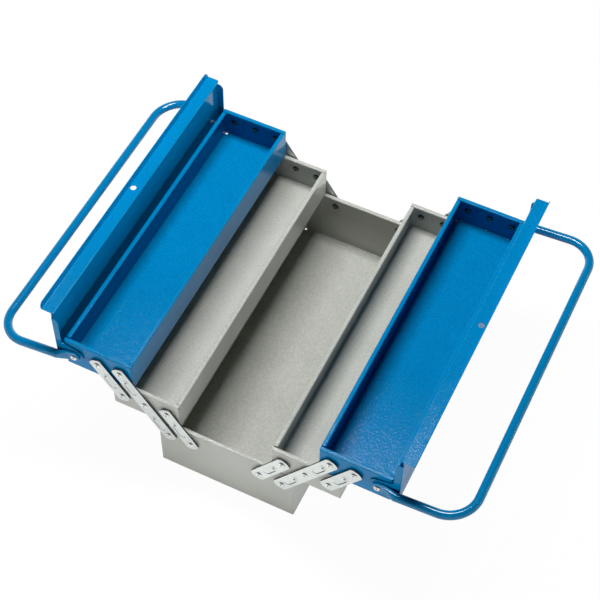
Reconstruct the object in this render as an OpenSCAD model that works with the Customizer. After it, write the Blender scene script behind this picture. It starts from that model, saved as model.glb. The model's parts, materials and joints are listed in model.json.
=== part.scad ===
// Cantilever tool box with five compartments, drawn open.
// Two middle and two top trays swing sideways out of the base, each pair on a double
// parallelogram of flat steel links. Each top tray carries a hinged lid and a tubular handle.
// X runs across the box, Y along it and Z up. The origin is the middle of the base's underside.

/* [Box] */
// Length of the base and of the trays, over their end walls
box_length = 450; // [300:5:600]
// Width of the base, which the closed trays cover
base_width = 200; // [186:1:260]
// Height of the base
base_height = 100; // [80:1:160]
// Height of each tray
tray_height = 50.5; // [46:0.5:70]
// Gap between the left and the right trays when the box is closed
centre_gap = 2; // [1:0.5:8]
// Gap between a tray and the rim it stands on
stack_gap = 0.5; // [0.3:0.1:1.5]

/* [Sheet metal] */
// Thickness of the base, tray and lid sheet
sheet = 1; // [0.8:0.1:1.4]
// Outer radius of the bends along the floor
floor_bend = 2; // [1.5:0.5:6]
// Outer radius of the upright corners
corner_bend = 2.5; // [1.5:0.5:5]
// Outer radius of the folds in rims, lids and flanges
fold_bend = 1.6; // [1.5:0.1:2.4]
// Diameter of the relief hole at each corner of a floor, where three bends meet
relief_hole = 3.6; // [2:0.2:5]
// Distance of that hole's centre from both outer faces
relief_inset = 3.2; // [2.4:0.1:4.5]

/* [Rims] */
// Width of the rim folded inwards along every wall
rim_width = 6; // [5:0.5:9]
// Depth of the rim with its return lip
rim_depth = 3; // [2.6:0.2:5]
// Slot between a side rim and the end rim that crosses it
rim_slot = 1.2; // [0.6:0.2:3]

/* [Corner tabs] */
// Width of the tabs that fold from the side walls behind the end walls
tab_width = 30; // [24:1:40]
// Height of a tab's lower edge above the floor, at the side wall
tab_rise = 12.5; // [6:0.5:20]
// Extra height of that edge at the tab's free side
tab_slope = 4; // [0:0.5:10]

/* [Linkage] */
// Distance from a tray's outer face to its first pivot
pivot_inset = 16.5; // [15:0.5:20]
// Distance between neighbouring pivots on a tray
pivot_spacing = 33; // [30:0.5:36]
// Depth of the pivots below the rim's top
pivot_drop = 21.5; // [19:0.5:26]
// Width of a link
link_width = 20; // [16:0.5:22]
// Thickness of a link
link_thickness = 2; // [1.5:0.1:3]
// Distance from a link's end pivot to its tip
link_tip = 10; // [8:0.5:11]
// Radius of a link's rounded end
link_tip_radius = 13; // [11:0.5:16]

/* [Link beads] */
// Length of the pressed bead in a link
bead_length = 28; // [16:1:32]
// Width of the bead at its foot
bead_width = 9; // [6:0.5:12]
// Height of the bead
bead_height = 0.8; // [0.4:0.1:1.2]
// Width of the bead's sloping side
bead_slope = 1; // [0.5:0.1:1.8]
// Distance of a long link's beads from its middle pivot
bead_offset = 35.5; // [32:0.5:38]
// Diameter of the hole at a bead's upper end
bead_hole = 3; // [2:0.5:4]

/* [Rivets] */
// Diameter of a rivet's shank
rivet_shank = 5; // [4:0.2:6]
// Diameter of its rolled head
rivet_head = 9; // [7:0.2:10]
// Diameter of the hole through the rivet
rivet_bore = 2.4; // [1.6:0.2:2.8]
// Diameter of the washers
washer_diameter = 9.5; // [9:0.5:12]
// Thickness of the spacer between an end wall and a link
link_spacer = 1.4; // [1:0.1:2.5]
// Thickness of the washer under a rivet's inner head
inner_washer = 0.8; // [0.5:0.1:1.5]

/* [Clearances] */
// Radial clearance of a moving piece on a rivet
pivot_fit = 0.05; // [0.02:0.01:0.1]
// Radial clearance of a fixed piece on a rivet
seat_fit = 0.02; // [0.01:0.01:0.1]
// Side play between a moving piece and its neighbours on a rivet
play = 0.1; // [0.05:0.05:0.3]

/* [Lids] */
// Gap between the lip of a closed lid and the middle of the box
lid_gap = 0.2; // [0.2:0.1:3]
// Gap that a lid's skirt and panel keep from the tray
lid_clearance = 0.5; // [0.4:0.1:1]
// Width of the flange along the free edge, from the panel's outer face to its lip
flange_width = 13.2; // [12.6:0.1:20]
// How far the flange's hemmed edge stands over the inside of the panel
flange_overhang = 3.3; // [3.1:0.1:4.5]
// Depth of that hem
hem_depth = 3; // [2.2:0.1:3.4]
// Width of the flange's angled lip
flange_lip = 8.4; // [5:0.1:10]
// Angle by which that lip turns up
flange_lip_angle = 80; // [60:5:85]
// Radius of the lip's outer corners
flange_corner = 7; // [2:0.5:7.5]
// Radius of the hemmed edge's corners
hem_corner = 3; // [1:0.5:4]
// Diameter of the padlock hole
padlock_hole = 8.5; // [5:0.5:9]
// Distance of the padlock hole's middle from the panel's outer face
padlock_inset = 7.4; // [6:0.1:8]

/* [Lid ends] */
// Depth of the lid's end plates
end_plate_depth = 9.5; // [9:0.5:10]
// Gap between the plate's end and the flange's hem
end_plate_gap = 7; // [1:0.5:20]
// Radius of the round corner at the plate's end
end_plate_corner = 8; // [2:0.5:8.5]
// Radius of the ear round the pivot
ear_radius = 12; // [9:0.5:14]
// Distance from the pivot to the shoulder where the ear begins
ear_shoulder = 16; // [14:0.5:20]
// Thickness of the spacer behind a lid's ear
ear_spacer = 0.9; // [0.6:0.1:1.5]

/* [Handles] */
// Diameter of the handle's tube
handle_tube = 12; // [8:0.5:14]
// Distance from the pivot to the middle of the grip
handle_reach = 120; // [110:0.5:130]
// Radius of the bends at the grip's ends, to the tube's middle
handle_bend = 40; // [20:1:50]
// Width of the flattened eye
eye_width = 15; // [12:0.5:16]
// Thickness of the flattened eye
eye_thickness = 4; // [3:0.5:6]
// Length of flat metal beyond the pivot
eye_flat = 9; // [7:0.5:12]
// Length over which the tube flattens
eye_taper = 15; // [10:1:25]
// Thickness of the washer between ear and eye
eye_washer = 0.3; // [0.2:0.1:1]
// Tilt of the left handle above level
left_handle_tilt = -8; // [-50:1:50]
// Tilt of the right handle above level
right_handle_tilt = 4.5; // [-50:0.5:50]

/* [Hidden] */
$fn = 64;
// Overshoot of cuts beyond the faces they pass through
over = 1;
// Thickness of the slice that ends a tapering form, and how much thinner the slice is than the tube there
slice = 0.1;
// How far a folded strip runs into the bend before it, so that the two join at any angle
seam = 0.0001;
grey = [0.72, 0.72, 0.69];
blue = [0.0, 0.45, 0.72];
zinc = [0.85, 0.87, 0.86];
half_length = box_length / 2;
tray_width = (base_width - centre_gap) / 2;
level_pitch = tray_height + stack_gap;
tray_travel = 2 * pivot_spacing;
link_pitch = norm([pivot_spacing, level_pitch]);
link_lean = atan(pivot_spacing / level_pitch);
link_play_stack = link_spacer + play;
link_grip = link_play_stack + link_thickness + play;
ear_inner = ear_spacer + play;
eye_inner = ear_inner + sheet + play + eye_washer + play;
eye_grip = eye_inner + eye_thickness + play;
lid_rise = norm([pivot_inset, pivot_drop]) + lid_clearance + sheet;
lid_reach = base_width / 2 - pivot_inset - lid_gap - flange_lip * sin(flange_lip_angle);
end_plate_reach = lid_reach - hem_depth - end_plate_gap;
skirt_face = pivot_inset + lid_clearance;

// ---- Places ----

// Distance of a pivot from the middle plane. Level 0 is the base, and index 0 the outermost pivot.
function pivot_x(level, index) =
    base_width / 2 + level * tray_travel - pivot_inset - index * pivot_spacing;

// Height of the pivots of a level
function pivot_z(level) = base_height - pivot_drop + level * level_pitch;

// Thickness of the end wall at a pivot: the outer and the inner pivots go through a corner tab too
function wall_at(index) = index == 1 ? sheet : 2 * sheet;

// Puts what is drawn for the right side on the named side
module on_side(side) mirror([side == "left" ? 1 : 0, 0, 0]) children();

// Puts what is drawn in X and Z, with its own Z pointing out of an end wall, on the named end
module on_end(end) mirror([0, end == "rear" ? 1 : 0, 0])
    translate([0, -half_length, 0])
        rotate([90, 0, 0])
            children();

// Repeats something on the box's both sides or both ends
module both_sides() for (side = ["left", "right"]) on_side(side) children();
module both_ends() for (end = ["front", "rear"]) on_end(end) children();

// ---- Profiles ----

// Extrudes a profile drawn in X and Z along Y, about the middle
module along_y(length) translate([0, length / 2, 0]) rotate([90, 0, 0]) linear_extrude(length) children();

// Extrudes a profile drawn in Y and Z along X, about the middle
module along_x(length) translate([-length / 2, 0, 0]) rotate([90, 0, 90]) linear_extrude(length) children();

// Rectangle on the X axis, about Y, whose two lower corners are arcs
module trough(width, height, radius) {
    translate([-width / 2, radius]) square([width, height - radius]);
    translate([-width / 2 + radius, 0]) square([width - 2 * radius, height]);
    for (side = [-1, 1]) translate([side * (width / 2 - radius), radius]) circle(radius);
}

// Rectangle about the origin with four equal arcs for corners
module plate(width, length, radius) {
    square([width, length - 2 * radius], center = true);
    square([width - 2 * radius, length], center = true);
    for (x = [-1, 1], y = [-1, 1])
        translate([x * (width / 2 - radius), y * (length / 2 - radius)]) circle(radius);
}

// Ring sector of a bend: it starts on the positive X axis and turns anticlockwise, up to a right angle
module bend_sector(angle, inner) {
    far = 2 * (inner + sheet);
    intersection() {
        difference() {
            circle(inner + sheet);
            circle(inner);
        }
        polygon([
            [0, 0],
            [far, 0],
            sqrt(2) * far * [cos(angle / 2), sin(angle / 2)],
            far * [cos(angle), sin(angle)]
        ]);
    }
}

// Folded strip of sheet that starts along +X with its thickness towards +Y.
// Each turn follows the leg of the same index and is positive when it turns left.
module folded(legs, turns, index = 0) {
    inner = fold_bend - sheet;
    lap = index > 0 ? seam : 0;
    translate([-lap, 0]) square([legs[index] + lap, sheet]);
    if (index < len(turns)) {
        turn = turns[index];
        centre = turn > 0 ? sheet + inner : -inner;
        translate([legs[index], centre]) {
            rotate(turn > 0 ? -90 : 90 + turn) bend_sector(abs(turn), inner);
            rotate(turn) translate([0, -centre]) folded(legs, turns, index + 1);
        }
    }
}

// Inverted U of a rim, its outer face on the Y axis and its top at zero
module rim_profile() translate([0, -rim_depth]) {
    translate([0, -sheet]) square([sheet, rim_depth - fold_bend + sheet]);
    translate([rim_width - sheet, 0]) square([sheet, rim_depth - fold_bend]);
    translate([fold_bend, rim_depth - sheet]) square([rim_width - 2 * fold_bend, sheet]);
    translate([fold_bend, rim_depth - fold_bend]) rotate(90) bend_sector(90, fold_bend - sheet);
    translate([rim_width - fold_bend, rim_depth - fold_bend]) bend_sector(90, fold_bend - sheet);
}

// ---- Base and trays ----

// Outside form of a folded pan, or its inside form when inset by the sheet
module pan_form(width, height, inset) translate([0, 0, inset])
    intersection() {
        along_y(box_length - 2 * inset) trough(width - 2 * inset, height - inset, floor_bend - inset);
        along_x(width - 2 * inset) trough(box_length - 2 * inset, height - inset, floor_bend - inset);
        linear_extrude(height - inset)
            plate(width - 2 * inset, box_length - 2 * inset, corner_bend - inset);
    }

// End rims over the full width and side rims between them
module pan_rims(width, height) {
    side_rim = box_length - 2 * (rim_width + rim_slot);
    intersection() {
        for (end = [0, 1]) mirror([0, end, 0])
            translate([0, -half_length, height]) along_x(width) rim_profile();
        linear_extrude(height) plate(width, box_length, corner_bend);
    }
    for (side = [0, 1]) mirror([side, 0, 0])
        translate([-width / 2, 0, height]) along_y(side_rim) rim_profile();
}

// Tabs that fold from the side walls onto the inner faces of the end walls
module corner_tabs(width, height) both_ends() for (side = [0, 1]) mirror([side, 0, 0])
    translate([-width / 2, 0, -2 * sheet])
        linear_extrude(sheet)
            polygon([
                [sheet, tab_rise],
                [tab_width, tab_rise + tab_slope],
                [tab_width, height - sheet],
                [sheet, height - sheet]
            ]);

// Relief holes through the corners of a floor
module corner_reliefs(width) for (x = [-1, 1], y = [-1, 1])
    translate([x * (width / 2 - relief_inset), y * (half_length - relief_inset), -over])
        cylinder(h = floor_bend + over, d = relief_hole);

// Open box folded from one sheet, standing on Z = 0 and centred on the origin
module pan(width, height) {
    difference() {
        pan_form(width, height - rim_depth, 0);
        pan_form(width, height + over, sheet);
        corner_reliefs(width);
    }
    pan_rims(width, height);
    corner_tabs(width, height);
}

// Holes through an end wall and its tab
module rivet_hole() translate([0, 0, -2 * sheet - over])
    cylinder(h = 2 * sheet + 2 * over, d = rivet_shank + 2 * seat_fit);

module base_box() color(grey) difference() {
    pan(base_width, base_height);
    both_sides() both_ends() for (index = [0, 1])
        translate([pivot_x(0, index), pivot_z(0), 0]) rivet_hole();
}

// Tray of a level, 1 or 2, drawn on the right side
module tray(level) difference() {
    translate([
        base_width / 2 + level * tray_travel - tray_width / 2,
        0,
        base_height + stack_gap + (level - 1) * level_pitch
    ]) pan(tray_width, tray_height);
    both_ends() for (index = [0, 1, 2])
        translate([pivot_x(level, index), pivot_z(level), 0]) rivet_hole();
}

module middle_tray(side) color(grey) on_side(side) tray(1);

module top_tray(side) color(blue) on_side(side) tray(2);

// ---- Rivets and washers ----

// Rivet head rolled outwards to a half ring, standing on Z = 0
module rivet_collar() rotate_extrude() {
    roll = (rivet_head - rivet_bore) / 4;
    translate([rivet_bore / 2 + roll, 0]) intersection() {
        circle(roll);
        translate([-roll, 0]) square([2 * roll, roll]);
    }
}

// Hollow rivet through a wall whose outer face is at Z = 0, gripping up to the given height
module rivet(wall, grip) {
    inner_face = -wall - inner_washer;
    translate([0, 0, inner_face]) difference() {
        cylinder(h = grip - inner_face, d = rivet_shank);
        translate([0, 0, -over]) cylinder(h = grip - inner_face + 2 * over, d = rivet_bore);
    }
    translate([0, 0, grip]) rivet_collar();
    translate([0, 0, inner_face]) mirror([0, 0, 1]) rivet_collar();
}

// Washer standing on Z = 0
module washer(thickness, fit) difference() {
    cylinder(h = thickness, d = washer_diameter);
    translate([0, 0, -over]) cylinder(h = thickness + 2 * over, d = rivet_shank + 2 * fit);
}

// Spacer outside the wall and washer under the rivet's inner head
module pivot_washers(wall, spacer) {
    washer(spacer, seat_fit);
    translate([0, 0, -wall - inner_washer]) washer(inner_washer, seat_fit);
}

// Rivets of some of a level's pivots, at both ends of the right side
module level_rivets(level, indices) both_ends() for (index = indices)
    translate([pivot_x(level, index), pivot_z(level), 0]) rivet(wall_at(index), link_grip);

module level_washers(level, indices) both_ends() for (index = indices)
    translate([pivot_x(level, index), pivot_z(level), 0]) pivot_washers(wall_at(index), link_spacer);

module base_rivets() color(zinc) both_sides() level_rivets(0, [0, 1]);

module base_washers() color(zinc) both_sides() level_washers(0, [0, 1]);

module middle_rivets(side) color(zinc) on_side(side) level_rivets(1, [0, 1, 2]);

module middle_washers(side) color(zinc) on_side(side) level_washers(1, [0, 1, 2]);

module top_rivets(side) color(zinc) on_side(side) level_rivets(2, [1, 2]);

module top_washers(side) color(zinc) on_side(side) level_washers(2, [1, 2]);

// Rivets that carry both a lid's ear and a handle's eye
module lid_rivets(side) color(zinc) on_side(side) both_ends()
    translate([pivot_x(2, 0), pivot_z(2), 0]) rivet(wall_at(0), eye_grip);

module lid_washers(side) color(zinc) on_side(side) both_ends()
    translate([pivot_x(2, 0), pivot_z(2), 0]) {
        pivot_washers(wall_at(0), ear_spacer);
        translate([0, 0, eye_inner - play - eye_washer]) washer(eye_washer, seat_fit);
    }

// ---- Links ----

// Outline of a link along +X, from its lower pivot at the origin over a number of spans
module link_outline(spans) {
    reach = spans * link_pitch;
    centre = link_tip_radius - link_tip;
    intersection() {
        translate([-link_tip, -link_width / 2]) square([reach + 2 * link_tip, link_width]);
        union() {
            translate([centre, -link_width]) square([reach - 2 * centre, 2 * link_width]);
            translate([centre, 0]) circle(link_tip_radius);
            translate([reach - centre, 0]) circle(link_tip_radius);
        }
    }
}

// Pressed bead with sloping sides, about the origin and along X
module bead() {
    straight = bead_length - bead_width;
    foot = bead_width / 2;
    crest = foot - bead_slope;
    for (end = [-1, 1]) translate([end * straight / 2, 0, 0]) cylinder(h = bead_height, r1 = foot, r2 = crest);
    translate([-straight / 2, 0, 0]) rotate([90, 0, 90]) linear_extrude(straight)
        polygon([[-foot, 0], [foot, 0], [crest, bead_height], [-crest, bead_height]]);
}

// Link with a pressed bead at each of the given distances from its lower pivot
module link(spans, beads) difference() {
    union() {
        linear_extrude(link_thickness) link_outline(spans);
        for (middle = beads) translate([middle, 0, link_thickness]) bead();
    }
    for (middle = beads) {
        translate([middle, 0, 0]) bead();
        translate([middle + (bead_length - bead_width) / 2, 0, -over])
            cylinder(h = link_thickness + bead_height + 2 * over, d = bead_hole);
    }
    for (span = [0:spans]) translate([span * link_pitch, 0, -over])
        cylinder(h = link_thickness + 2 * over, d = rivet_shank + 2 * pivot_fit);
}

// Hangs a link on a pivot of a level, leaning outwards as it does when the box is open
module hang_link(side, end, level, index) color(zinc) on_side(side) on_end(end)
    translate([pivot_x(level, index), pivot_z(level), link_play_stack])
        rotate(90 - link_lean)
            children();

module long_link(side, end) hang_link(side, end, 0, 0)
    link(2, [link_pitch - bead_offset, link_pitch + bead_offset]);

module lower_link(side, end) hang_link(side, end, 0, 1) link(1, [link_pitch / 2]);

module upper_link(side, end) hang_link(side, end, 1, 0) link(1, [link_pitch / 2]);

// ---- Lids ----

// Point where the line from an outside point touches the circle about the origin
function tangent_point(point, radius, side) =
    let (angle = atan2(point.y, point.x) + side * acos(radius / norm(point)))
    radius * [cos(angle), sin(angle)];

// Folded skirt and panel, hem over the panel's edge, and flange with its lip, drawn in X and Z
module lid_profile() {
    skirt = lid_rise - skirt_face - fold_bend;
    panel = lid_reach + skirt_face - fold_bend;
    nose = lid_rise - sheet - flange_overhang;
    roll = hem_depth / 2;
    tangent = (fold_bend - sheet) * tan(flange_lip_angle / 2);
    translate([skirt_face, -skirt_face - sheet]) folded([skirt, panel], [90]);
    translate([nose + roll, lid_reach - hem_depth]) {
        translate([0, roll]) circle(roll);
        square([flange_overhang + sheet - roll, hem_depth]);
    }
    translate([lid_rise - sheet, lid_reach - sheet])
        folded([sheet + flange_width - tangent, flange_lip - tangent], [flange_lip_angle]);
}

// Side view of an end plate: a straight strip with one round corner at its end
module end_plate_outline() {
    inner = lid_rise - end_plate_depth;
    translate([inner, -skirt_face])
        square([end_plate_depth, end_plate_reach - end_plate_corner + skirt_face]);
    translate([inner + end_plate_corner, 0])
        square([end_plate_depth - end_plate_corner, end_plate_reach]);
    translate([inner + end_plate_corner, end_plate_reach - end_plate_corner])
        circle(end_plate_corner);
}

// Ear from the end plate to round the pivot
module ear_outline() {
    inner = lid_rise - end_plate_depth;
    upper = [inner, ear_shoulder];
    lower = [inner, -skirt_face];
    circle(ear_radius);
    polygon([
        [0, 0],
        tangent_point(lower, ear_radius, -1),
        lower,
        [inner + end_plate_depth - fold_bend, -skirt_face],
        [inner + end_plate_depth - fold_bend, ear_shoulder],
        upper,
        tangent_point(upper, ear_radius, 1)
    ]);
}

// End plate bent from the panel, with its ear, in the end wall's own frame
module lid_end() {
    outer = ear_inner + sheet;
    intersection() {
        translate([0, -skirt_face, 0]) rotate([-90, 0, 0]) linear_extrude(end_plate_reach + skirt_face) {
            translate([lid_rise - end_plate_depth, -outer]) square([end_plate_depth - fold_bend, sheet]);
            translate([lid_rise - fold_bend, fold_bend - outer]) rotate(-90)
                bend_sector(90, fold_bend - sheet);
            translate([lid_rise - sheet, fold_bend - outer]) square([sheet, outer - fold_bend + over]);
        }
        translate([0, 0, -2 * over]) linear_extrude(outer + 4 * over) end_plate_outline();
    }
    translate([0, 0, ear_inner]) linear_extrude(sheet) ear_outline();
}

// Waste outside a corner of the given radius at the origin, between -depth and +over
module corner_waste(radius, depth) translate([-radius, -radius, -depth]) difference() {
    cube([2 * radius, 2 * radius, depth + over]);
    translate([0, 0, -over]) cylinder(h = depth + 3 * over, r = radius);
}

// Waste outside the lip's corner and outside the hem's corner at the rear end
module flange_waste() {
    translate([lid_rise + flange_width, half_length, lid_reach]) rotate([0, -flange_lip_angle, 0])
        translate([flange_lip, 0, 0]) corner_waste(flange_corner, sheet + over);
    translate([lid_rise - sheet - flange_overhang, half_length, lid_reach])
        mirror([1, 0, 0]) corner_waste(hem_corner, hem_depth + over);
}

module lid(side) color(blue) on_side(side) translate([pivot_x(2, 0), 0, pivot_z(2)]) difference() {
    union() {
        along_y(box_length) lid_profile();
        both_ends() lid_end();
    }
    for (end = [0, 1]) mirror([0, end, 0]) flange_waste();
    both_ends() translate([0, 0, ear_inner - over])
        cylinder(h = sheet + 2 * over, d = rivet_shank + 2 * pivot_fit);
    translate([lid_rise + padlock_inset, 0, lid_reach - sheet - over])
        cylinder(h = sheet + 2 * over, d = padlock_hole);
}

// ---- Handles ----

// Flattened end of the tube, in the end wall's own frame with its flat on the eye's inner face
module handle_end() {
    translate([0, 0, eye_inner]) {
        cylinder(h = eye_thickness, d = eye_width);
        translate([0, -eye_width / 2, 0]) cube([eye_flat, eye_width, eye_thickness]);
        hull() {
            translate([eye_flat - slice, -eye_width / 2, 0]) cube([slice, eye_width, eye_thickness]);
            translate([eye_flat + eye_taper, 0, handle_tube / 2]) rotate([0, 90, 0])
                cylinder(h = slice, d = handle_tube - slice, $fn = 32);
        }
    }
}

// Bent tube with its flattened ends, pivoting about the origin and reaching along +X
module handle_loop() {
    axis = half_length + eye_inner + handle_tube / 2;
    start = eye_flat + eye_taper;
    knee = handle_reach - handle_bend;
    difference() {
        union() {
            both_ends() handle_end();
            for (end = [0, 1]) mirror([0, end, 0]) {
                translate([start, -axis, 0]) rotate([0, 90, 0]) cylinder(h = knee - start, d = handle_tube);
                translate([knee, handle_bend - axis, 0]) rotate(-90) rotate_extrude(angle = 90)
                    translate([handle_bend, 0]) circle(d = handle_tube);
            }
            translate([handle_reach, 0, 0]) rotate([90, 0, 0])
                cylinder(h = 2 * (axis - handle_bend), d = handle_tube, center = true);
        }
        both_ends() translate([0, 0, eye_inner - over])
            cylinder(h = eye_thickness + 2 * over, d = rivet_shank + 2 * pivot_fit);
    }
}

module handle(side, tilt) color(blue) on_side(side)
    translate([pivot_x(2, 0), 0, pivot_z(2)])
        rotate([0, -tilt, 0])
            handle_loop();

// ---- Nodes ----

base_box();
base_rivets();
base_washers();
long_link("left", "front");  // left_long_link_front
long_link("left", "rear");  // left_long_link_rear
long_link("right", "front");  // right_long_link_front
long_link("right", "rear");  // right_long_link_rear
lower_link("left", "front");  // left_lower_link_front
lower_link("left", "rear");  // left_lower_link_rear
lower_link("right", "front");  // right_lower_link_front
lower_link("right", "rear");  // right_lower_link_rear
upper_link("left", "front");  // left_upper_link_front
upper_link("left", "rear");  // left_upper_link_rear
upper_link("right", "front");  // right_upper_link_front
upper_link("right", "rear");  // right_upper_link_rear
middle_tray("left");  // left_middle_tray
middle_rivets("left");  // left_middle_rivets
middle_washers("left");  // left_middle_washers
middle_tray("right");  // right_middle_tray
middle_rivets("right");  // right_middle_rivets
middle_washers("right");  // right_middle_washers
top_tray("left");  // left_top_tray
top_rivets("left");  // left_top_rivets
top_washers("left");  // left_top_washers
top_tray("right");  // right_top_tray
top_rivets("right");  // right_top_rivets
top_washers("right");  // right_top_washers
lid_rivets("left");  // left_lid_rivets
lid_washers("left");  // left_lid_washers
lid_rivets("right");  // right_lid_rivets
lid_washers("right");  // right_lid_washers
lid("left");  // left_lid
lid("right");  // right_lid
handle("left", left_handle_tilt);  // left_handle
handle("right", right_handle_tilt);  // right_handle
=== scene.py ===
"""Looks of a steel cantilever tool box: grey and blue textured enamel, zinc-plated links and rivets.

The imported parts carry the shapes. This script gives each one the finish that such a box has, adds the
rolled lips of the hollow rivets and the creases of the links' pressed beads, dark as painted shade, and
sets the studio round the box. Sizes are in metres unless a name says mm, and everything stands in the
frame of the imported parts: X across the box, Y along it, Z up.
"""

import json
import logging
import math
from dataclasses import dataclass, field
from enum import Enum
from typing import Any, Iterable, Optional

import bpy
from mathutils import Matrix, Vector


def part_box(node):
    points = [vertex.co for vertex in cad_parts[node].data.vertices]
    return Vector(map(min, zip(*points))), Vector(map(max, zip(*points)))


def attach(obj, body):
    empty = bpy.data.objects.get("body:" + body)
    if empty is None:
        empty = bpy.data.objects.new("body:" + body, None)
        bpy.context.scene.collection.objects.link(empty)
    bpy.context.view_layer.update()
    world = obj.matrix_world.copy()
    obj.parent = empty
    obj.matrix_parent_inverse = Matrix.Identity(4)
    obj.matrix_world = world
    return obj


LOG = logging.getLogger("tool_box")
MM = 0.001
WHITE = (1.0, 1.0, 1.0, 1.0)

# Two values between which one state goes over into another
Band = tuple[float, float]

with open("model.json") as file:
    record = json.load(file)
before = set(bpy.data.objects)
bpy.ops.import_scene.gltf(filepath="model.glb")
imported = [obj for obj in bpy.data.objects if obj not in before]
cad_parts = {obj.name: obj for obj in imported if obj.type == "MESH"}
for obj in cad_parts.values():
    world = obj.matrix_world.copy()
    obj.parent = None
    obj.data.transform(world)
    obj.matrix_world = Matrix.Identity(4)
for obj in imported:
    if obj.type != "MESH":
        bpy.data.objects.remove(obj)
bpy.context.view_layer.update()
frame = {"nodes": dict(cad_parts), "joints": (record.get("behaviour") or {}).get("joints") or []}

# Distance of the end walls' outer faces from the middle of the box
END_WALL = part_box("base_box")[1].y


# ---------------------------------------------------------------- choices


class Side(Enum):
    """The two halves of the box, by the word that starts the names of their parts."""

    LEFT = "left"
    RIGHT = "right"


class End(Enum):
    """The two ends of the box, with the sign of their Y."""

    FRONT = -1
    REAR = 1


# ---------------------------------------------------------------- helpers


def linear(hex_colour: str) -> tuple[float, float, float, float]:
    """Turns an sRGB hex colour into the linear values that shaders use.

    Args:
        hex_colour: Six hex digits, red first.

    Returns:
        Linear red, green, blue and an alpha of one.
    """
    channels = [int(hex_colour[i:i + 2], 16) / 255 for i in (0, 2, 4)]
    values = [c / 12.92 if c <= 0.04045 else ((c + 0.055) / 1.055) ** 2.4 for c in channels]
    return (values[0], values[1], values[2], 1.0)


def per_metre(size_mm: float) -> float:
    """Scale of a pattern on coordinates in metres whose cells are to be a size in millimetres.

    Args:
        size_mm: Real size of one cell.

    Returns:
        The scale to set on the texture.
    """
    return 1.0 / (size_mm * MM)


def add_node(tree: bpy.types.NodeTree, kind: str, settings: Optional[dict[str, Any]] = None,
             inputs: Optional[dict[Any, Any]] = None) -> bpy.types.Node:
    """Adds a node, sets its properties and sockets, and links it.

    Args:
        tree: The node tree to add to.
        kind: The node's bl_idname.
        settings: Properties of the node itself.
        inputs: Socket name or index to a value, or to an output socket to link from.

    Returns:
        The new node.
    """
    node = tree.nodes.new(kind)
    for name, value in (settings or {}).items():
        setattr(node, name, value)
    for key, value in (inputs or {}).items():
        if isinstance(value, bpy.types.NodeSocket):
            tree.links.new(value, node.inputs[key])
        else:
            node.inputs[key].default_value = value
    return node


def new_material(name: str) -> tuple[bpy.types.Material, bpy.types.NodeTree, bpy.types.Node]:
    """Makes an empty material with a Principled shader wired to its output.

    Args:
        name: Name of the material.

    Returns:
        The material, its tree and its Principled shader.
    """
    material = bpy.data.materials.new(name)
    material.use_nodes = True
    tree = material.node_tree
    tree.nodes.clear()
    shader = add_node(tree, "ShaderNodeBsdfPrincipled")
    add_node(tree, "ShaderNodeOutputMaterial", inputs={"Surface": shader.outputs["BSDF"]})
    return material, tree, shader


def new_geometry_tree(name: str, sizes: Iterable[str]) -> tuple[bpy.types.NodeTree, bpy.types.Node]:
    """Starts a Geometry Nodes tree that takes and gives geometry.

    Args:
        name: Name of the tree.
        sizes: Names of its other inputs.

    Returns:
        The tree and the node that holds what the tree is given.
    """
    tree = bpy.data.node_groups.new(name, "GeometryNodeTree")
    face = tree.interface
    face.new_socket("Geometry", in_out="INPUT", socket_type="NodeSocketGeometry")
    for size in sizes:
        face.new_socket(size, in_out="INPUT", socket_type="NodeSocketFloat")
    face.new_socket("Geometry", in_out="OUTPUT", socket_type="NodeSocketGeometry")
    return tree, add_node(tree, "NodeGroupInput")


def end_geometry_tree(tree: bpy.types.NodeTree, shape: bpy.types.NodeSocket,
                      finish: bpy.types.Material) -> None:
    """Ends a Geometry Nodes tree with real, smooth geometry in one finish.

    Args:
        tree: The tree.
        shape: The socket that gives the shape.
        finish: The material to set.
    """
    real = add_node(tree, "GeometryNodeRealizeInstances", inputs={"Geometry": shape})
    smooth = add_node(tree, "GeometryNodeSetShadeSmooth", inputs={"Geometry": real.outputs["Geometry"]})
    dressed = add_node(tree, "GeometryNodeSetMaterial", inputs={
        "Geometry": smooth.outputs["Geometry"], "Material": finish})
    add_node(tree, "NodeGroupOutput", inputs={"Geometry": dressed.outputs["Geometry"]})


def plain_mesh(name: str, seeds: tuple[list[Vector], list[tuple[int, int]]], tree: bpy.types.NodeTree,
               sizes: dict[str, float], outward: Optional[list[Vector]] = None) -> bpy.types.Object:
    """Runs a Geometry Nodes tree on seed points and keeps what it makes as a plain mesh.

    Args:
        name: Name of the piece.
        seeds: Points, and the edges that join them.
        tree: The Geometry Nodes tree.
        sizes: Values of the tree's inputs by name.
        outward: The way each point faces, where the tree asks for it.

    Returns:
        The finished piece, at the origin.
    """
    start = bpy.data.meshes.new(name + "_seeds")
    start.from_pydata(seeds[0], seeds[1], [])
    if outward is not None:
        for item, way in zip(start.attributes.new("outward", "FLOAT_VECTOR", "POINT").data, outward):
            item.vector = way
    maker = bpy.data.objects.new(name + "_maker", start)
    bpy.context.scene.collection.objects.link(maker)
    modifier = maker.modifiers.new("pieces", "NODES")
    modifier.node_group = tree
    for item in tree.interface.items_tree:
        if item.name in sizes:
            modifier[item.identifier] = sizes[item.name]
    bpy.context.view_layer.update()
    evaluated = maker.evaluated_get(bpy.context.evaluated_depsgraph_get())
    mesh = bpy.data.meshes.new_from_object(evaluated)
    bpy.data.objects.remove(maker)
    bpy.data.meshes.remove(start)
    piece = bpy.data.objects.new(name, mesh)
    mesh.name = name
    bpy.context.scene.collection.objects.link(piece)
    LOG.info("%s has %d faces", name, len(mesh.polygons))
    return piece


def pivot(joint: str) -> Vector:
    """Place of a joint on the middle plane.

    Args:
        joint: Name of the joint.

    Returns:
        The joint's place.
    """
    return Vector(next(j["pos_m"] for j in frame["joints"] if j["name"] == joint))


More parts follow.
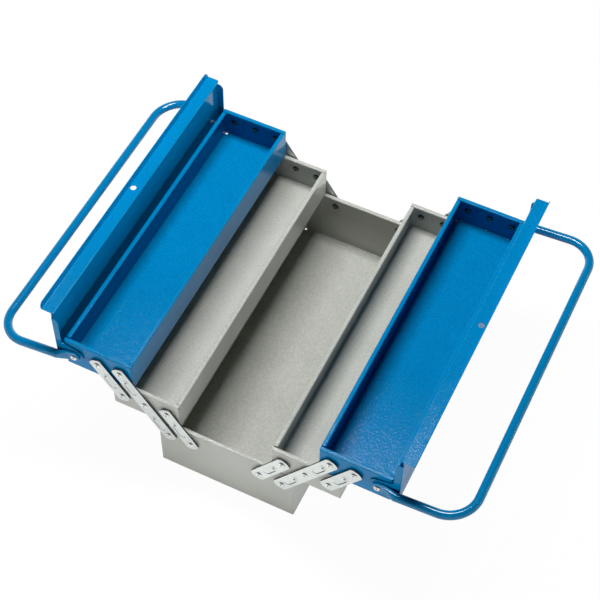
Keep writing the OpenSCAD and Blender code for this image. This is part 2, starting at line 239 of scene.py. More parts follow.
def pitch(side: Side) -> Vector:
    """Step up a side's links from the pivots of one level to those of the next.

    Args:
        side: The side.

    Returns:
        The step.
    """
    return pivot(f"{side.value}_middle_level") - pivot(f"{side.value}_swing")


# ---------------------------------------------------------------- finishes


@dataclass(frozen=True)
class TexturedEnamel:
    """Stoved polyester powder enamel on folded steel sheet.

    The powder melts into a fine orange-peel skin, so the gloss breaks up into small glints, and the
    colour is even but for slight clouds where the coat is thicker. The skin lies smoother on upright
    faces. Real cells are less than a millimetre wide, too fine to show, so the cells, their grains and
    the flecks are drawn two to three times as coarse. The light flecks are painted into the colour:
    they stand partly for the powder's speckle and partly, as painted glints, for the lamp's glints.

    Attributes:
        name: Name of the material.
        colour: Colour of the full coat.
        shade: Colour where the coat is thin.
        speckle_and_glint: Colour of the light flecks, partly speckle of the powder and partly painted
            glints.
        roughness: Middle roughness of the skin.
        gloss_swing: How far the roughness goes either way from that.
        specular: Specular level of the resin.
        cloud_mm: Width of the clouds.
        cloud_band: Cloud noise over which the thin coat goes over into the full one.
        fleck_mm: Width of the flecks.
        speckle_and_glint_band: Fleck noise over which a light fleck begins.
        gloss_band: Fleck noise over which the roughness falls.
        speckle_and_glint_share: Strength of the light flecks, which are partly painted glints.
        grain_mm: Width of the grains.
        grain_band: Grain noise over which dark grains go over into light ones.
        grain: Share by which a light grain is lighter.
        grain_dip: How many times as far a dark grain is darker.
        peel_mm: Width of the skin's cells.
        peel_depth_mm: Depth of the skin's cells.
        level_band: Upright part of a face's direction, from upright faces to level ones.
        upright_share: Share of the cells' depth and of the grains that is left on upright faces.
    """

    name: str
    colour: str
    shade: str
    # Colour of the light flecks painted into the coat: partly speckle, partly painted glints
    speckle_and_glint: str
    roughness: float = 0.09
    gloss_swing: float = 0.02
    specular: float = 0.25
    cloud_mm: float = 60.0
    cloud_band: Band = (0.35, 0.62)
    fleck_mm: float = 2.4
    speckle_and_glint_band: Band = (0.6, 0.72)
    gloss_band: Band = (0.35, 0.7)
    speckle_and_glint_share: float = 0.25
    grain_mm: float = 2.3
    grain_band: Band = (0.35, 0.65)
    grain: float = 0.055
    grain_dip: float = 2.0
    peel_mm: float = 2.3
    peel_depth_mm: float = 0.33
    level_band: Band = (0.3, 0.9)
    upright_share: float = 0.12

    def build(self) -> bpy.types.Material:
        """Builds the enamel's node tree on the part's own coordinates.

        Returns:
            The finished material.
        """
        material, tree, shader = new_material(self.name)
        coordinates = add_node(tree, "ShaderNodeTexCoord")
        place = coordinates.outputs["Object"]
        share = self.add_share(tree, coordinates.outputs["Normal"])
        flecks = add_node(tree, "ShaderNodeTexNoise", inputs={
            "Vector": place, "Scale": per_metre(self.fleck_mm), "Detail": 2.0, "Roughness": 0.7})
        gloss = add_node(tree, "ShaderNodeMapRange", inputs={
            "Value": flecks.outputs["Fac"], "From Min": self.gloss_band[0], "From Max": self.gloss_band[1],
            "To Min": self.roughness + self.gloss_swing, "To Max": self.roughness - self.gloss_swing})
        peel = add_node(tree, "ShaderNodeTexNoise", inputs={
            "Vector": place, "Scale": per_metre(self.peel_mm), "Detail": 1.0, "Roughness": 0.5})
        skin = add_node(tree, "ShaderNodeBump", inputs={
            "Height": peel.outputs["Fac"], "Distance": self.peel_depth_mm * MM, "Strength": share})
        coat = self.add_coat(tree, place, share, flecks.outputs["Fac"])
        tree.links.new(coat, shader.inputs["Base Color"])
        tree.links.new(gloss.outputs["Result"], shader.inputs["Roughness"])
        tree.links.new(skin.outputs["Normal"], shader.inputs["Normal"])
        shader.inputs["Specular IOR Level"].default_value = self.specular
        return material

    def add_share(self, tree: bpy.types.NodeTree, normal: bpy.types.NodeSocket) -> bpy.types.NodeSocket:
        """Adds the nodes that tell how much of the skin's relief and grain a face shows.

        Args:
            tree: The material's tree.
            normal: The way the surface faces.

        Returns:
            The socket of the share.
        """
        facing = add_node(tree, "ShaderNodeSeparateXYZ", inputs={"Vector": normal})
        level = add_node(tree, "ShaderNodeMath", {"operation": "ABSOLUTE"}, {0: facing.outputs["Z"]})
        share = add_node(tree, "ShaderNodeMapRange", inputs={
            "Value": level.outputs[0], "From Min": self.level_band[0], "From Max": self.level_band[1],
            "To Min": self.upright_share, "To Max": 1.0})
        return share.outputs["Result"]

    def add_coat(self, tree: bpy.types.NodeTree, place: bpy.types.NodeSocket, share: bpy.types.NodeSocket,
                 flecks: bpy.types.NodeSocket) -> bpy.types.NodeSocket:
        """Adds the nodes of the coat's colour, with its clouds, grains and light flecks, which are partly
        painted glints.

        Args:
            tree: The material's tree.
            place: The part's own coordinates.
            share: Share of the grain that shows.
            flecks: Noise of the flecks.

        Returns:
            The socket of the colour.
        """
        clouds = add_node(tree, "ShaderNodeTexNoise", inputs={
            "Vector": place, "Scale": per_metre(self.cloud_mm), "Detail": 3.0, "Roughness": 0.55})
        thickness = add_node(tree, "ShaderNodeMapRange", inputs={
            "Value": clouds.outputs["Fac"], "From Min": self.cloud_band[0], "From Max": self.cloud_band[1]})
        tone = add_node(tree, "ShaderNodeMix", {"data_type": "RGBA"}, {
            "Factor": thickness.outputs["Result"], "A": linear(self.shade), "B": linear(self.colour)})
        # Light flecks painted into the colour: partly the powder's speckle, partly painted glints of the
        # lamp on the skin
        speckle_and_glint_mask = add_node(tree, "ShaderNodeMapRange", inputs={
            "Value": flecks, "From Min": self.speckle_and_glint_band[0], "From Max": self.speckle_and_glint_band[1],
            "To Min": 0.0, "To Max": self.speckle_and_glint_share})
        speckle_and_glints = add_node(tree, "ShaderNodeMix", {"data_type": "RGBA"}, {
            "Factor": speckle_and_glint_mask.outputs["Result"], "A": tone.outputs["Result"], "B": linear(self.speckle_and_glint)})
        grains = add_node(tree, "ShaderNodeTexNoise", inputs={
            "Vector": place, "Scale": per_metre(self.grain_mm), "Detail": 1.0, "Roughness": 0.6})
        depth = add_node(tree, "ShaderNodeMapRange", inputs={
            "Value": grains.outputs["Fac"], "From Min": self.grain_band[0], "From Max": self.grain_band[1],
            "To Min": -self.grain_dip * self.grain, "To Max": self.grain})
        density = add_node(tree, "ShaderNodeMath", {"operation": "MULTIPLY_ADD"}, {
            0: depth.outputs["Result"], 1: share, 2: 1.0})
        grained = add_node(tree, "ShaderNodeVectorMath", {"operation": "SCALE"}, {
            "Vector": speckle_and_glints.outputs["Result"], "Scale": density.outputs[0]})
        return grained.outputs["Vector"]


@dataclass(frozen=True)
class ZincPlate:
    """Bright zinc plate on pressed steel strip.

    The plate is a pale bluish silver, softly clouded where it passivates, with fine rolling lines from
    the strip under it. A strip that is punched after it is plated has bare cut edges, which face along X
    and Z; where they are darkened, the colour is partly bare steel and partly painted shade for the dark
    gap and dark reflections along them. What lies inside the box, behind its end walls, is made darker.
    The rolling lines are drawn several times as wide as real ones, and even so show only as a softer gloss.

    Attributes:
        name: Name of the material.
        colour: Colour of the bright plate.
        dull: Colour of its clouds.
        cloud_mm: Width of the clouds.
        cloud_band: Cloud noise over which the clouds go over into the bright plate.
        shaded_edge: Colour of a cut edge, partly bare steel and partly painted shade.
        shaded_edge_share: How much of that colour a cut edge has.
        shaded_edge_band: Part of a face's direction along Y, from cut edges to faces.
        inner: Colour inside the box.
        inner_share: How much of that colour there is inside the box.
        inner_mm: Depths behind an end wall's outer face between which that colour begins.
        roughness: Roughness of the plate.
        gloss_swing: How far the rolling lines take the roughness down and up.
        line_mm: Width of the rolling lines.
        line_stretch: Scale of their pattern along Z, which draws them out.
        line_band: Line noise over which the roughness rises.
        line_depth_mm: Depth of the rolling lines.
    """

    name: str
    colour: str = "DDE2DF"
    dull: str = "D3D9D6"
    cloud_mm: float = 9.0
    cloud_band: Band = (0.32, 0.58)
    # Dark colour of cut edges: partly bare steel, partly painted shade along them
    shaded_edge: str = "3A3D3C"
    shaded_edge_share: float = 0.0
    shaded_edge_band: Band = (0.1, 0.35)
    inner: str = "3C4341"
    inner_share: float = 0.0
    inner_mm: Band = (0.9, 0.4)
    roughness: float = 0.36
    gloss_swing: Band = (-0.05, 0.09)
    line_mm: float = 0.35
    line_stretch: float = 0.06
    line_band: Band = (0.3, 0.7)
    line_depth_mm: float = 0.01

    def build(self) -> bpy.types.Material:
        """Builds the plate's node tree on the part's own coordinates.

        Returns:
            The finished material.
        """
        material, tree, shader = new_material(self.name)
        coordinates = add_node(tree, "ShaderNodeTexCoord")
        place = coordinates.outputs["Object"]
        stretched = add_node(tree, "ShaderNodeMapping", inputs={
            "Vector": place, "Scale": (1.0, 1.0, self.line_stretch)})
        lines = add_node(tree, "ShaderNodeTexNoise", inputs={
            "Vector": stretched.outputs["Vector"], "Scale": per_metre(self.line_mm), "Detail": 2.0})
        gloss = add_node(tree, "ShaderNodeMapRange", inputs={
            "Value": lines.outputs["Fac"], "From Min": self.line_band[0], "From Max": self.line_band[1],
            "To Min": self.roughness + self.gloss_swing[0], "To Max": self.roughness + self.gloss_swing[1]})
        skin = add_node(tree, "ShaderNodeBump", inputs={
            "Height": lines.outputs["Fac"], "Distance": self.line_depth_mm * MM, "Strength": 0.5})
        plate = self.add_plate(tree, place, coordinates.outputs["Normal"])
        tree.links.new(plate, shader.inputs["Base Color"])
        tree.links.new(gloss.outputs["Result"], shader.inputs["Roughness"])
        tree.links.new(skin.outputs["Normal"], shader.inputs["Normal"])
        shader.inputs["Metallic"].default_value = 1.0
        return material

    def add_plate(self, tree: bpy.types.NodeTree, place: bpy.types.NodeSocket,
                  normal: bpy.types.NodeSocket) -> bpy.types.NodeSocket:
        """Adds the nodes of the plate's colour, with its clouds, its cut edges darkened partly as painted
        shade, and its darkening inside the box.

        Args:
            tree: The material's tree.
            place: The part's own coordinates.
            normal: The way the surface faces.

        Returns:
            The socket of the colour.
        """
        clouds = add_node(tree, "ShaderNodeTexNoise", inputs={
            "Vector": place, "Scale": per_metre(self.cloud_mm), "Detail": 4.0, "Roughness": 0.6})
        brightness = add_node(tree, "ShaderNodeMapRange", inputs={
            "Value": clouds.outputs["Fac"], "From Min": self.cloud_band[0], "From Max": self.cloud_band[1]})
        tone = add_node(tree, "ShaderNodeMix", {"data_type": "RGBA"}, {
            "Factor": brightness.outputs["Result"], "A": linear(self.dull), "B": linear(self.colour)})
        facing = add_node(tree, "ShaderNodeSeparateXYZ", inputs={"Vector": normal})
        flatness = add_node(tree, "ShaderNodeMath", {"operation": "ABSOLUTE"}, {0: facing.outputs["Y"]})
        # Cut edges, which face along X and Z, are darkened: partly bare steel, partly painted shade
        edge_shade_mask = add_node(tree, "ShaderNodeMapRange", inputs={
            "Value": flatness.outputs[0], "From Min": self.shaded_edge_band[0], "From Max": self.shaded_edge_band[1],
            "To Min": self.shaded_edge_share, "To Max": 0.0})
        edge_shaded = add_node(tree, "ShaderNodeMix", {"data_type": "RGBA"}, {
            "Factor": edge_shade_mask.outputs["Result"], "A": tone.outputs["Result"], "B": linear(self.shaded_edge)})
        spot = add_node(tree, "ShaderNodeSeparateXYZ", inputs={"Vector": place})
        # Made darker inside the box, behind the end walls
        reach = add_node(tree, "ShaderNodeMath", {"operation": "ABSOLUTE"}, {0: spot.outputs["Y"]})
        inside = add_node(tree, "ShaderNodeMapRange", inputs={
            "Value": reach.outputs[0], "From Min": END_WALL - self.inner_mm[0] * MM,
            "From Max": END_WALL - self.inner_mm[1] * MM, "To Min": self.inner_share, "To Max": 0.0})
        darkened_inside = add_node(tree, "ShaderNodeMix", {"data_type": "RGBA"}, {
            "Factor": inside.outputs["Result"], "A": edge_shaded.outputs["Result"], "B": linear(self.inner)})
        return darkened_inside.outputs["Result"]


@dataclass
class Finishes:
    """Every finish on the box, built once."""

    # Light grey coat with a shallow skin, which reads almost matt
    grey: bpy.types.Material = field(default_factory=TexturedEnamel(
        "grey_textured_enamel", colour="BCBEB7", shade="B7B9B2", speckle_and_glint="D0D0CA", peel_depth_mm=0.2).build)

    # Strong blue coat with a deep skin, which glitters under a lamp
    blue: bpy.types.Material = field(default_factory=TexturedEnamel(
        "blue_textured_enamel", colour="007BB4", shade="0078B0", speckle_and_glint="3A9AC8", specular=0.13).build)

    # The same blue on drawn tube, where the coat flows out smooth and carries long highlights
    tube: bpy.types.Material = field(default_factory=TexturedEnamel(
        "blue_tube_enamel", colour="0078AC", shade="0074A8", speckle_and_glint="1A86BC", roughness=0.1, specular=0.5,
        speckle_and_glint_share=0.1, grain=0.03, peel_depth_mm=0.01).build)

    # Punched strip, with pale satin faces and near-black cut edges, partly bare steel and partly painted
    # shade
    link: bpy.types.Material = field(default_factory=ZincPlate(
        "zinc_plated_strip", shaded_edge_share=0.85).build)

    # Rolled rivet heads, burnished bright by the tool that closes them
    rivet: bpy.types.Material = field(default_factory=ZincPlate(
        "zinc_plated_rivet", colour="F0F2EE", dull="D0D3CF", cloud_mm=3.0, inner_share=0.9,
        roughness=0.14).build)

    # Stamped washers, duller than the strip
    washer: bpy.types.Material = field(default_factory=ZincPlate(
        "zinc_plated_washer", colour="BFC3C0", dull="8E9390", cloud_mm=4.0, inner_share=0.9,
        roughness=0.42).build)

    # Dark zinc of the thin wires along the foot of each bead, dark as painted shade for the bead's lower
    # flank
    crease_shade: bpy.types.Material = field(default_factory=ZincPlate(
        "zinc_painted_crease_shade", colour="626866", dull="4C5250", cloud_mm=4.0, roughness=0.55).build)


# ---------------------------------------------------------------- the box


@dataclass(frozen=True)
class PivotStack:
    """How the pieces on a pivot lie on each other, outwards from an end wall, in millimetres.

    Attributes:
        sheet: Thickness of the sheet of trays and lids.
        play: Gap between two pieces that turn on each other.
        link_spacer: Thickness of the spacer under a link.
        link: Thickness of a link.
        ear_spacer: Thickness of the spacer under a lid's ear.
        eye_washer: Thickness of the washer between a lid's ear and a handle's eye.
        eye: Thickness of a handle's eye.
        inner_washer: Thickness of the washer under a rivet's inner head.
        head: Height of a rivet's head.
    """

    sheet: float = 1.0
    play: float = 0.1
    link_spacer: float = 1.4
    link: float = 2.0
    ear_spacer: float = 0.9
    eye_washer: float = 0.3
    eye: float = 4.0
    inner_washer: float = 0.8
    head: float = 1.65

    def link_face(self) -> float:
        """Height of a link's outer face over the end wall."""
        return self.link_spacer + self.play + self.link

    def link_grip(self) -> float:
        """Height over the end wall of the underside of a rivet's head on a link."""
        return self.link_face() + self.play

    def eye_grip(self) -> float:
        """Height over the end wall of the underside of a rivet's head on a handle's eye."""
        return self.ear_spacer + self.sheet + self.eye_washer + self.eye + 4 * self.play


@dataclass
class SubAssembly:
    """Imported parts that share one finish.

    Attributes:
        finish: Their finish.
        word: Word that the names of all of them hold.
    """

    finish: bpy.types.Material
    word: str

    def parts(self) -> list[bpy.types.Object]:
        """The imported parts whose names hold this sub-assembly's word."""
        return [part for name, part in frame["nodes"].items() if self.word in name]

    def dress(self) -> None:
        """Gives every part of the sub-assembly its finish."""
        for part in self.parts():
            for slot in part.material_slots:
                slot.material = self.finish
            LOG.info("%s is in %s", part.name, self.finish.name)


@dataclass
class Links(SubAssembly):
    """The pressed links, with a thin dark wire where the lower flank of each bead meets the link, dark as
    painted shade for that flank.

    Attributes:
        crease_shade: Finish of the creases.
        stack: How the pieces on a pivot lie on each other.
        bead_length_mm: Length of a bead.
        bead_width_mm: Width of a bead.
        bead_offset_mm: Distance of a long link's beads from its middle pivot.
        margin_mm: Distance of a crease's middle from the bead.
        wire_mm: Radius of a crease.
        wire_sides: Number of sides of a crease's section.
        sink_mm: How far a crease's middle lies under the link's face.
        start_mm: Distance of a crease's upper end from the bead's middle.
        sweep: Turn of a crease round the bead's lower tip, in degrees.
        steps: Number of steps in that turn.
    """

    crease_shade: bpy.types.Material
    stack: PivotStack = PivotStack()
    bead_length_mm: float = 28.0
    bead_width_mm: float = 9.0
    bead_offset_mm: float = 35.5
    margin_mm: float = 0.5
    wire_mm: float = 0.8
    wire_sides: int = 8
    sink_mm: float = 0.3
    start_mm: float = 6.5
    sweep: float = 105.0
    steps: int = 9

    def crease_tree(self) -> bpy.types.NodeTree:
        """Builds the node tree that lays a thin round wire along each line of points.

        Returns:
            The Geometry Nodes tree.
        """
        tree, given = new_geometry_tree("bead_creases", ["Wire radius"])
        lines = add_node(tree, "GeometryNodeMeshToCurve", inputs={"Mesh": given.outputs["Geometry"]})
        profile = add_node(tree, "GeometryNodeCurvePrimitiveCircle", inputs={
            "Resolution": self.wire_sides, "Radius": given.outputs["Wire radius"]})
        wire = add_node(tree, "GeometryNodeCurveToMesh", inputs={
            "Curve": lines.outputs["Curve"], "Profile Curve": profile.outputs["Curve"], "Fill Caps": True})
        # The creases take the dark finish, which is painted shade for the beads' lower flanks
        end_geometry_tree(tree, wire.outputs["Mesh"], self.crease_shade)
        return tree

    def crease_line(self, middle: Vector, along: Vector, end: End) -> list[Vector]:
        """Finds the crease of one bead.

        Args:
            middle: Middle of the bead on the middle plane.
            along: Unit vector up the link.
            end: End of the box that the link is on.

        Returns:
            Points down the lower flank and round the bead's lower tip.
        """
        down = Vector((along.z, 0, -along.x))
        if down.z > 0:
            down.negate()
        height = (self.stack.link_face() - self.sink_mm) * MM
        centre = middle + Vector((0, end.value * (END_WALL + height), 0))
        foot = self.bead_width_mm / 2 + self.margin_mm
        half = (self.bead_length_mm - self.bead_width_mm) / 2
        points = [centre + (self.start_mm * along + foot * down) * MM]
        for step in range(self.steps + 1):
            angle = math.radians(self.sweep) * step / self.steps
            points.append(centre + ((-half - foot * math.sin(angle)) * along
                                    + foot * math.cos(angle) * down) * MM)
        return points

    def beads(self, side: Side) -> dict[str, list[Vector]]:
        """Finds the beads of one side's links.

        Args:
            side: The side.

        Returns:
            For each kind of link, the middles of its beads on the middle plane.
        """
        word = side.value
        centre, step = pivot(f"{word}_middle_level"), pitch(side)
        offset = self.bead_offset_mm * MM * step.normalized()
        return {"long": [centre - offset, centre + offset],
                "lower": [pivot(f"{word}_lower_swing") + step / 2],
                "upper": [pivot(f"{word}_upper_swing") + step / 2]}

    def add_creases(self) -> None:
        """Adds the creases, one piece for each pair of links."""
        tree = self.crease_tree()
        for side in Side:
            along = pitch(side).normalized()
            for kind, middles in self.beads(side).items():
                points: list[Vector] = []
                edges: list[tuple[int, int]] = []
                for middle in middles:
                    for end in End:
                        line = self.crease_line(middle, along, end)
                        edges += [(len(points) + i, len(points) + i + 1) for i in range(len(line) - 1)]
                        points += line
                piece = plain_mesh(f"{side.value}_{kind}_link_crease_shades", (points, edges), tree,
                                   {"Wire radius": self.wire_mm * MM})
                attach(piece, f"{side.value}_{kind}_links")


@dataclass
class Rivets(SubAssembly):
    """The hollow rivets, with a rolled lip round the mouth at both ends of each.

    Attributes:
        stack: How the pieces on a pivot lie on each other.
        mouth_mm: Radius of a mouth, to the middle of its lip.
        roll_mm: Radius of the lip's section.
        sink_mm: How far the lip's middle lies under the top of the head.
        around: Number of steps round a mouth.
        section: Number of sides of the lip's section.
    """

    stack: PivotStack = PivotStack()
    mouth_mm: float = 1.62
    roll_mm: float = 0.42
    sink_mm: float = 0.62
    around: int = 28
    section: int = 10

    def lip_tree(self) -> bpy.types.NodeTree:
        """Builds the node tree that stands a rolled ring on each point, facing the way the point does.

        Returns:
            The Geometry Nodes tree.
        """
        tree, given = new_geometry_tree("rolled_lips", ["Mouth radius", "Roll radius"])
        path = add_node(tree, "GeometryNodeCurvePrimitiveCircle", inputs={
            "Resolution": self.around, "Radius": given.outputs["Mouth radius"]})
        profile = add_node(tree, "GeometryNodeCurvePrimitiveCircle", inputs={
            "Resolution": self.section, "Radius": given.outputs["Roll radius"]})
        ring = add_node(tree, "GeometryNodeCurveToMesh", inputs={
            "Curve": path.outputs["Curve"], "Profile Curve": profile.outputs["Curve"]})
        outward = add_node(tree, "GeometryNodeInputNamedAttribute", {"data_type": "FLOAT_VECTOR"}, {
            "Name": "outward"})
        turn = add_node(tree, "FunctionNodeAlignRotationToVector", {"axis": "Z"}, {
            "Vector": outward.outputs["Attribute"]})
        rings = add_node(tree, "GeometryNodeInstanceOnPoints", inputs={
            "Points": given.outputs["Geometry"], "Instance": ring.outputs["Mesh"],
            "Rotation": turn.outputs["Rotation"]})
        end_geometry_tree(tree, rings.outputs["Instances"], self.finish)
        return tree

    def pivots(self, side: Side) -> dict[str, list[tuple[Vector, float, float]]]:
        """Finds the rivets of one side.

        Args:
            side: The side.

        Returns:
            For each body, the place of each rivet with its grip outside the end wall and the thickness
            of the wall that it goes through, both in millimetres.
        """
        word = side.value
        single, double = self.stack.sheet, 2 * self.stack.sheet
        link, eye = self.stack.link_grip(), self.stack.eye_grip()
        base, middle = pivot(f"{word}_swing"), pivot(f"{word}_middle_level")
        lower, upper = pivot(f"{word}_lower_swing"), pivot(f"{word}_upper_swing")
        step = pitch(side)
        return {
            "base": [(base, link, double), (lower, link, single)],
            f"{word}_middle": [(upper, link, double), (middle, link, single), (lower + step, link, double)],
            f"{word}_top": [(pivot(f"{word}_lid_hinge"), eye, double), (upper + step, link, single),
                            (pivot(f"{word}_top_level"), link, double)]}

    def mouths(self, rivets: list[tuple[Vector, float, float]]) -> list[tuple[Vector, Vector]]:
        """Finds the mouths of rivets, outside and inside both end walls.

        Args:
            rivets: Place, grip and wall of each rivet.

        Returns:
            The middle of each mouth, level with its head's top, and the way it faces.
        """
        found = []
        for place, grip, wall in rivets:
            outer = grip + self.stack.head
            inner = wall + self.stack.inner_washer + self.stack.head
            for end in End:
                out = Vector((0, end.value, 0))
                face = Vector((place.x, end.value * END_WALL, place.z))
                found.append((face + out * outer * MM, out))
                found.append((face - out * inner * MM, -out))
        return found

    def add_lips(self) -> None:
        """Adds the rolled lips, one piece for each body."""
        tree = self.lip_tree()
        bodies: dict[str, list[tuple[Vector, float, float]]] = {}
        for side in Side:
            for body, rivets in self.pivots(side).items():
                bodies.setdefault(body, []).extend(rivets)
        for body, rivets in bodies.items():
            mouths = self.mouths(rivets)
            sunk = [point - way * self.sink_mm * MM for point, way in mouths]
            piece = plain_mesh(f"{body}_rivet_lips", (sunk, []), tree, {
                "Mouth radius": self.mouth_mm * MM, "Roll radius": self.roll_mm * MM},
                [way for _, way in mouths])
            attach(piece, body)


@dataclass
class ToolBox:
    """The whole box as its sub-assemblies.

    Attributes:
        finishes: The finishes to dress them in.
    """

    finishes: Finishes

    def dress(self) -> None:
        """Dresses every sub-assembly, then adds the rivets' lips and the links' dark creases, which are
        painted shade.
        """
        looks = self.finishes
        links = Links(looks.link, "link", looks.crease_shade)
        rivets = Rivets(looks.rivet, "rivets")

        # The lids' word is in the names of their washers and rivets too, so those are dressed later
        for group in (SubAssembly(looks.grey, "base_box"), SubAssembly(looks.grey, "middle_tray"),
                      SubAssembly(looks.blue, "top_tray"), SubAssembly(looks.blue, "_lid"), links,
                      SubAssembly(looks.tube, "handle"), SubAssembly(looks.washer, "washers"), rivets):
            group.dress()
        rivets.add_lips()
        links.add_creases()


# ---------------------------------------------------------------- the studio


@dataclass(frozen=True)
class Lamp:
    """A rectangular soft lamp that shines straight down.

    Attributes:
        name: Name of the lamp.
        place: Where it hangs.
        width: Its size along X.
        depth: Its size along Y.
        watts: Its power.
    """

    name: str
    place: tuple[float, float, float]
    width: float
    depth: float
    watts: float

    def hang(self) -> None:
        """Hangs the lamp."""
        data = bpy.data.lights.new(self.name, "AREA")
        data.shape = "RECTANGLE"
        data.size = self.width
        data.size_y = self.depth
        data.energy = self.watts
        lamp = bpy.data.objects.new(self.name, data)
        bpy.context.scene.collection.objects.link(lamp)
        lamp.matrix_world = Matrix.Translation(Vector(self.place))


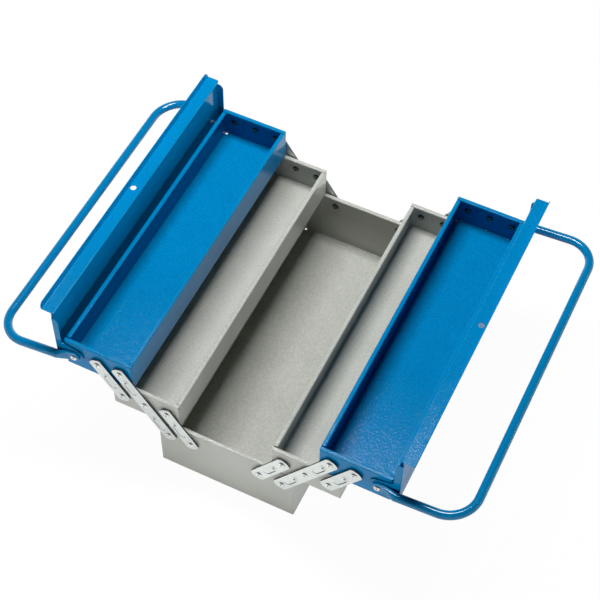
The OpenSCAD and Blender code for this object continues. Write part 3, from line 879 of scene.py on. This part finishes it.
@dataclass
class Studio:
    """White table and surround under a dim ceiling, a soft lamp and the camera.

    Attributes:
        key: The lamp.
        target: Point that the camera looks at.
        distance: Distance of the camera from that point.
        azimuth: Turn of the camera round the box from its front end towards +X, in degrees.
        elevation: Height of the camera over the table, in degrees.
        roll: Turn of the camera about its line of sight, in degrees.
        lens_mm: Focal length of the lens.
        sensor_mm: Width of the sensor.
        far_clip: Furthest distance that the camera sees.
        horizon: Strength of the light from a low band all round.
        sky: Strength of the light from above that band.
        sky_band: Height at which the one goes over into the other, as the sine of an angle.
        dark_band: Height over which the light from above fades out.
        ceiling: Brightness of the ceiling in reflections.
        ceiling_band: Height over which the white surround goes over into the ceiling.
        floor_half: Half the width of the table.
        floor_grey: Whiteness of the table's paint.
        table_glow: Strength of the light from the table.
        floor_white: Share of plain white in what the camera sees of the table. The rest is its paint.
    """

    key: Lamp = Lamp("key_lamp", place=(-0.21, 0.2, 1.5), width=0.75, depth=0.4, watts=24.0)
    target: tuple[float, float, float] = (-0.017161, 0.033790, 0.100)
    distance: float = 2.162202
    azimuth: float = 24.8176
    elevation: float = 54.5048
    roll: float = 1.337
    lens_mm: float = 92.880
    sensor_mm: float = 36.0
    far_clip: float = 50.0
    horizon: float = 4.8
    sky: float = 0.02
    sky_band: Band = (0.08, 0.12)
    dark_band: Band = (0.4, 0.6)
    ceiling: float = 0.03
    ceiling_band: Band = (0.1, 0.4)
    floor_half: float = 6.0
    floor_grey: float = 0.8
    table_glow: float = 0.37
    floor_white: float = 0.95

    def view_direction(self) -> Vector:
        """Unit vector from the box to the camera."""
        turn, rise = math.radians(self.azimuth), math.radians(self.elevation)
        return Vector((math.sin(turn) * math.cos(rise), -math.cos(turn) * math.cos(rise), math.sin(rise)))

    def add_camera(self) -> None:
        """Sets the camera where its lens sees the open box as a whole."""
        back = self.view_direction()
        right = (-back).cross(Vector((0, 0, 1))).normalized()
        up = back.cross(right)
        turn = math.radians(self.roll)
        across = math.cos(turn) * right + math.sin(turn) * up
        upward = -math.sin(turn) * right + math.cos(turn) * up
        data = bpy.data.cameras.new("camera")
        data.lens = self.lens_mm
        data.sensor_width = self.sensor_mm
        data.clip_end = self.far_clip
        camera = bpy.data.objects.new("camera", data)
        bpy.context.scene.collection.objects.link(camera)
        rotation = Matrix((across, upward, back)).transposed().to_4x4()
        camera.matrix_world = Matrix.Translation(Vector(self.target) + self.distance * back) @ rotation
        bpy.context.scene.camera = camera

    def add_world(self) -> None:
        """Adds a surround that lights from low down, and is white to the camera and in low reflections."""
        world = bpy.data.worlds.new("studio")
        bpy.context.scene.world = world
        world.use_nodes = True
        tree = world.node_tree
        tree.nodes.clear()
        path = add_node(tree, "ShaderNodeLightPath")
        seen = add_node(tree, "ShaderNodeMath", {"operation": "MAXIMUM"}, {
            0: path.outputs["Is Camera Ray"], 1: path.outputs["Is Transmission Ray"]})
        around = add_node(tree, "ShaderNodeTexCoord")
        direction = add_node(tree, "ShaderNodeSeparateXYZ", inputs={"Vector": around.outputs["Generated"]})
        height = direction.outputs["Z"]
        low = add_node(tree, "ShaderNodeMapRange", inputs={
            "Value": height, "From Min": self.sky_band[0], "From Max": self.sky_band[1],
            "To Min": self.horizon, "To Max": self.sky})
        fade = add_node(tree, "ShaderNodeMapRange", inputs={
            "Value": height, "From Min": self.dark_band[0], "From Max": self.dark_band[1],
            "To Min": 1.0, "To Max": 0.0})
        soft = add_node(tree, "ShaderNodeMath", {"operation": "MULTIPLY"}, {
            0: low.outputs["Result"], 1: fade.outputs["Result"]})
        bright = add_node(tree, "ShaderNodeMapRange", inputs={
            "Value": height, "From Min": self.ceiling_band[0], "From Max": self.ceiling_band[1],
            "To Min": 1.0, "To Max": self.ceiling})
        fill, mirrored, white = [
            add_node(tree, "ShaderNodeBackground", inputs={"Color": WHITE, "Strength": strength})
            for strength in (soft.outputs[0], bright.outputs["Result"], 1.0)]
        unseen = add_node(tree, "ShaderNodeMixShader", inputs={
            0: path.outputs["Is Glossy Ray"], 1: fill.outputs[0], 2: mirrored.outputs[0]})
        both = add_node(tree, "ShaderNodeMixShader", inputs={
            0: seen.outputs[0], 1: unseen.outputs[0], 2: white.outputs[0]})
        add_node(tree, "ShaderNodeOutputWorld", inputs={"Surface": both.outputs[0]})

    def table_paint(self) -> bpy.types.Material:
        """Builds the table's white paint, which glows softly and keeps only a faint shadow of the box.

        Returns:
            The finished material.
        """
        material = bpy.data.materials.new("white_table")
        material.use_nodes = True
        material.cycles.emission_sampling = "NONE"
        tree = material.node_tree
        tree.nodes.clear()
        path = add_node(tree, "ShaderNodeLightPath")
        seen = add_node(tree, "ShaderNodeMath", {"operation": "MULTIPLY"}, {
            0: path.outputs["Is Camera Ray"], 1: self.floor_white})
        paint = add_node(tree, "ShaderNodeBsdfDiffuse", inputs={
            "Color": (self.floor_grey, self.floor_grey, self.floor_grey, 1.0)})
        glow, white = [add_node(tree, "ShaderNodeEmission", inputs={"Color": WHITE, "Strength": strength})
                       for strength in (self.table_glow, 1.0)]
        table = add_node(tree, "ShaderNodeAddShader", inputs={0: paint.outputs[0], 1: glow.outputs[0]})
        both = add_node(tree, "ShaderNodeMixShader", inputs={
            0: seen.outputs[0], 1: table.outputs[0], 2: white.outputs[0]})
        add_node(tree, "ShaderNodeOutputMaterial", inputs={"Surface": both.outputs[0]})
        return material

    def add_floor(self) -> None:
        """Lays the table under the box."""
        mesh = bpy.data.meshes.new("floor")
        half = self.floor_half
        mesh.from_pydata([(-half, -half, 0), (half, -half, 0), (half, half, 0), (-half, half, 0)], [],
                         [(0, 1, 2, 3)])
        mesh.materials.append(self.table_paint())
        floor = bpy.data.objects.new("floor", mesh)
        bpy.context.scene.collection.objects.link(floor)

    def build(self) -> None:
        """Builds the whole studio."""
        bpy.context.scene.view_settings.view_transform = "Standard"
        self.add_camera()
        self.add_world()
        self.add_floor()
        self.key.hang()
        LOG.info("studio is ready")


def main() -> None:
    """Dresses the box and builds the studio."""
    logging.basicConfig(level=logging.INFO, format="%(name)s: %(message)s")
    ToolBox(Finishes()).dress()
    Studio().build()
    bpy.context.view_layer.update()


if __name__ == "__main__":
    main()
